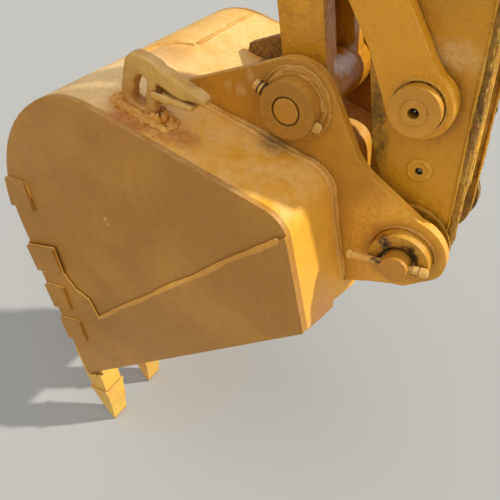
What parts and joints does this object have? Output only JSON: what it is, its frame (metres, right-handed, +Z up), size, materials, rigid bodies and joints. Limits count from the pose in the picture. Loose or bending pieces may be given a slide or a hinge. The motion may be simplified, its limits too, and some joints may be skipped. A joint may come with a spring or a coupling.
{
  "type": "excavator dipper stick with digging bucket",
  "caption": "Welded excavator dipper stick with a hydraulic cylinder, H link and guide links that curl a toothed digging bucket.",
  "frame": {"origin": "on the axis of the boom pin bore, midway between the side plates", "axes": "+Z up along the hanging stick, +X towards the machine, +Y along the pins to the far side"},
  "size_m": [1.3033, 0.8524, 4.5593],
  "materials": {
    "yellow_paint": "satin",
    "worn_paint": "worn",
    "chrome_rod": "polished"
  },
  "bodies": {
    "stick": {"stick_side_near": "yellow_paint", "stick_side_far": "yellow_paint", "stick_front_plate": "yellow_paint", "stick_front_upper": "yellow_paint", "stick_back_plate": "yellow_paint", "stick_end_plate": "yellow_paint", "nose_tube": "yellow_paint", "guide_tube": "yellow_paint", "boom_tube": "yellow_paint", "tail_plates": "yellow_paint", "cylinder_bracket": "yellow_paint", "cylinder_base_pin": "worn_paint", "grease_bosses": "yellow_paint"},
    "bucket": {"wrapper": "yellow_paint", "bucket_side_near": "yellow_paint", "bucket_side_far": "yellow_paint", "side_cutters": "yellow_paint", "cutting_edge": "worn_paint", "adapter_1": "worn_paint", "adapter_2": "worn_paint", "adapter_3": "worn_paint", "adapter_4": "worn_paint", "tooth_1": "worn_paint", "tooth_2": "worn_paint", "tooth_3": "worn_paint", "tooth_4": "worn_paint", "ear_near": "yellow_paint", "ear_far": "yellow_paint", "ear_web": "yellow_paint", "upper_bosses": "yellow_paint", "lower_collars": "yellow_paint", "upper_pin": "worn_paint", "lower_pin": "worn_paint", "lock_bolts": "worn_paint", "lifting_hook": "yellow_paint", "wear_plates": "yellow_paint"},
    "h_link": {"h_link": "yellow_paint", "h_link_pins": "worn_paint"},
    "guide_links": {"guide_link_near": "yellow_paint", "guide_link_far": "yellow_paint", "guide_pin": "worn_paint", "link_pin_ends": "worn_paint"},
    "cylinder_barrel": {"cylinder_barrel": "yellow_paint", "cylinder_base": "yellow_paint", "cylinder_gland": "yellow_paint"},
    "cylinder_rod": {"cylinder_rod": "chrome_rod", "rod_eye": "yellow_paint", "rod_eye_pin": "worn_paint"},
    "latch": {"hook_latch": "worn_paint"}
  },
  "joints": [
    {"name": "bucket_curl", "type": "hinge", "parent": "stick", "child": "bucket", "pos_m": [0.18137, 0, -2.59367], "axis": [0, -1, 0], "range_deg": [-8, 140]},
    {"name": "h_link_swing", "type": "hinge", "parent": "bucket", "child": "h_link", "pos_m": [-0.13833, 0, -2.2784], "axis": [0, -1, 0], "range_deg": [-94.09, 5.94]},
    {"name": "guide_link_swing", "type": "hinge", "parent": "stick", "child": "guide_links", "pos_m": [0.13561, 0, -2.22596], "axis": [0, -1, 0], "range_deg": [-6.88, 110.58]},
    {"name": "barrel_swing", "type": "hinge", "parent": "stick", "child": "cylinder_barrel", "pos_m": [-0.46607, 0, -0.07269], "axis": [0, -1, 0], "range_deg": [-10.74, 1.18]},
    {"name": "rod_slide", "type": "slide", "parent": "cylinder_barrel", "child": "cylinder_rod", "axis": [0.1418, 0, -0.9899], "range_m": [-0.0633, 1.0746]},
    {"name": "latch_swing", "type": "hinge", "parent": "bucket", "child": "latch", "pos_m": [-0.41647, -0.318, -2.25783], "axis": [0, -1, 0], "range_deg": [-25, 0], "stiffness_Nm_per_rad": 2, "springref_deg": 17.19}
  ],
  "couplings": [
    {"joint": "h_link_swing", "follows": "bucket_curl", "ratio": -0.66776},
    {"joint": "guide_link_swing", "follows": "bucket_curl", "ratio": 0.78561},
    {"joint": "barrel_swing", "follows": "bucket_curl", "ratio": -0.072395},
    {"joint": "rod_slide", "follows": "bucket_curl", "m_per_rad": 0.43896}
  ]
}
